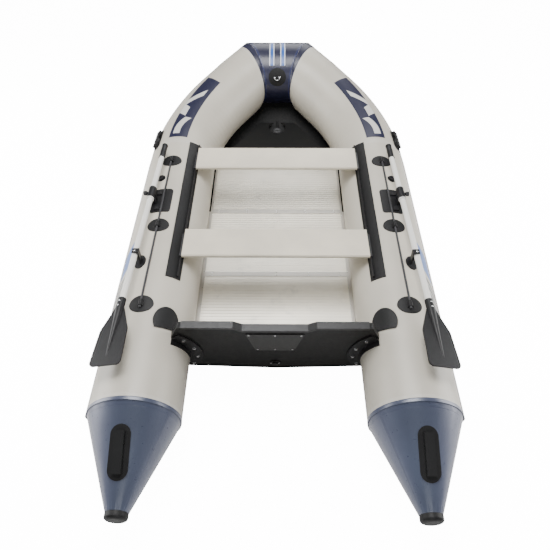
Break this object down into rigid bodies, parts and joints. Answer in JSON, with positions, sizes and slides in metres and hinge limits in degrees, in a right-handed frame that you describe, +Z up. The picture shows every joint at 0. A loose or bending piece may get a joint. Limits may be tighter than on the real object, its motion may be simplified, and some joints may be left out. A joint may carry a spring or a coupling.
{
  "type": "inflatable dinghy",
  "caption": "Open inflatable dinghy with a V bottom, slatted metal floor, rigid transom, sliding bench boards and oars stowed in hinged rowlocks along the tubes.",
  "frame": {"origin": "on the ground under the middle of the boat's outer box", "axes": "+Y points to the bow, +X to starboard, +Z up"},
  "size_m": [1.704, 3.3135, 0.61],
  "materials": {
    "grey_fabric": "satin coated fabric",
    "navy_fabric": "satin coated fabric",
    "slate_fabric": "satin coated fabric",
    "black_fabric": "matte coated fabric",
    "black_rubber": "moulded, fine grain",
    "grey_rubber": "matte",
    "black_plastic": "moulded satin",
    "dark_grey_plastic": "moulded matte",
    "floor_aluminium": "extruded, brushed",
    "joiner_aluminium": "extruded, mill finish",
    "black_board": "painted board, fine texture",
    "bench_board": "painted board, satin",
    "oar_tube": "coated tube, satin",
    "stainless": "polished",
    "rope": "braided"
  },
  "bodies": {
    "hull": {"side_tube_port": "grey_fabric", "side_tube_starboard": "grey_fabric", "bow_arm_port": "grey_fabric", "bow_arm_starboard": "grey_fabric", "bow_tube": "navy_fabric", "chamber_baffles": "grey_fabric", "stern_cone_port": "slate_fabric", "stern_cone_starboard": "slate_fabric", "cone_caps": "black_rubber", "cone_handles": "black_rubber", "hull_bottom": "black_fabric", "keel_tube": "black_fabric", "bow_board": "black_board", "floor_panel_aft": "floor_aluminium", "floor_panel_mid": "floor_aluminium", "floor_panel_fore": "floor_aluminium", "floor_joiners": "joiner_aluminium", "floor_stringers": "joiner_aluminium", "transom_board": "black_board", "transom_trim": "black_plastic", "transom_holder_port": "black_rubber", "transom_holder_starboard": "black_rubber", "transom_bolts": "stainless", "transom_cheeks": "black_rubber", "motor_pads": "dark_grey_plastic", "motor_pad_screws": "stainless", "drain_flange": "black_plastic", "bench_track_port": "black_rubber", "bench_track_starboard": "black_rubber", "rowlock_base_port": "black_plastic", "rowlock_base_starboard": "black_plastic", "oar_clips": "black_plastic", "rope_pads": "black_rubber", "grab_rope_port": "rope", "grab_rope_starboard": "rope", "side_handles": "black_rubber", "bow_ring_patch": "black_rubber", "inflation_valves": "black_plastic", "rubbing_strake": "grey_rubber"},
    "bench_front_seat": {"bench_front": "bench_board", "bench_front_hooks": "dark_grey_plastic"},
    "bench_rear_seat": {"bench_rear": "bench_board", "bench_rear_hooks": "dark_grey_plastic"},
    "drain_stopper": {"drain_plug": "black_plastic"},
    "tow_ring": {"bow_ring": "stainless"},
    "keel_cap": {"keel_valve_cap": "dark_grey_plastic"},
    "rocker_port": {"rowlock_block_port": "dark_grey_plastic"},
    "collar_port": {"oar_collar_port": "black_plastic"},
    "knob_port": {"collar_knob_port": "dark_grey_plastic"},
    "oar_port": {"oar_shaft_port": "oar_tube", "oar_grip_port": "black_plastic", "oar_blade_port": "black_plastic"},
    "air_cap_port": {"valve_cap_port": "dark_grey_plastic"},
    "rocker_starboard": {"rowlock_block_starboard": "dark_grey_plastic"},
    "collar_starboard": {"oar_collar_starboard": "black_plastic"},
    "knob_starboard": {"collar_knob_starboard": "dark_grey_plastic"},
    "oar_starboard": {"oar_shaft_starboard": "oar_tube", "oar_grip_starboard": "black_plastic", "oar_blade_starboard": "black_plastic"},
    "air_cap_starboard": {"valve_cap_starboard": "dark_grey_plastic"}
  },
  "joints": [
    {"name": "bench_front_slide", "type": "slide", "parent": "hull", "child": "bench_front_seat", "axis": [0, 1, 0], "range_m": [-0.12, 0.06]},
    {"name": "bench_rear_slide", "type": "slide", "parent": "hull", "child": "bench_rear_seat", "axis": [0, 1, 0], "range_m": [-0.1, 0.14]},
    {"name": "oar_dip_starboard", "type": "hinge", "parent": "hull", "child": "rocker_starboard", "pos_m": [0.697, -0.00672, 0.43], "axis": [0, 1, 0], "range_deg": [0, 18]},
    {"name": "oar_swing_starboard", "type": "hinge", "parent": "rocker_starboard", "child": "collar_starboard", "pos_m": [0.697, -0.00672, 0.43], "axis": [0, 0, 1], "range_deg": [0, 100]},
    {"name": "oar_feather_starboard", "type": "hinge", "parent": "collar_starboard", "child": "oar_starboard", "pos_m": [0.697, -0.00672, 0.476], "axis": [-0.0262, 0.9997, 0], "range_deg": [-30, 75]},
    {"name": "collar_knob_turn_starboard", "type": "hinge", "parent": "collar_starboard", "child": "knob_starboard", "pos_m": [0.697, -0.00672, 0.476], "axis": [0.9997, 0.0262, 0], "range_deg": [0, 90]},
    {"name": "air_cap_turn_starboard", "type": "hinge", "parent": "hull", "child": "air_cap_starboard", "pos_m": [0.68813, 0.19828, 0.42682], "axis": [0.2672, 0, 0.9636], "range_deg": [0, 90]},
    {"name": "oar_dip_port", "type": "hinge", "parent": "hull", "child": "rocker_port", "pos_m": [-0.697, -0.00672, 0.43], "axis": [0, -1, 0], "range_deg": [0, 18]},
    {"name": "oar_swing_port", "type": "hinge", "parent": "rocker_port", "child": "collar_port", "pos_m": [-0.697, -0.00672, 0.43], "axis": [0, 0, -1], "range_deg": [0, 100]},
    {"name": "oar_feather_port", "type": "hinge", "parent": "collar_port", "child": "oar_port", "pos_m": [-0.697, -0.00672, 0.476], "axis": [-0.0262, -0.9997, 0], "range_deg": [-30, 75]},
    {"name": "collar_knob_turn_port", "type": "hinge", "parent": "collar_port", "child": "knob_port", "pos_m": [-0.697, -0.00672, 0.476], "axis": [-0.9997, 0.0262, 0], "range_deg": [0, 90]},
    {"name": "air_cap_turn_port", "type": "hinge", "parent": "hull", "child": "air_cap_port", "pos_m": [-0.68813, 0.19828, 0.42682], "axis": [-0.2672, 0, 0.9636], "range_deg": [0, 90]},
    {"name": "keel_cap_turn", "type": "hinge", "parent": "hull", "child": "keel_cap", "pos_m": [0, 1.12244, 0.11201], "axis": [0, -0.3413, 0.9399], "range_deg": [0, 90]},
    {"name": "drain_plug_slide", "type": "slide", "parent": "hull", "child": "drain_stopper", "axis": [0, -0.9877, -0.1564], "range_m": [0, 0.028]},
    {"name": "tow_ring_swing", "type": "hinge", "parent": "hull", "child": "tow_ring", "pos_m": [0, 1.2305, 0.4817], "axis": [-1, 0, 0], "range_deg": [0, 110]}
  ]
}
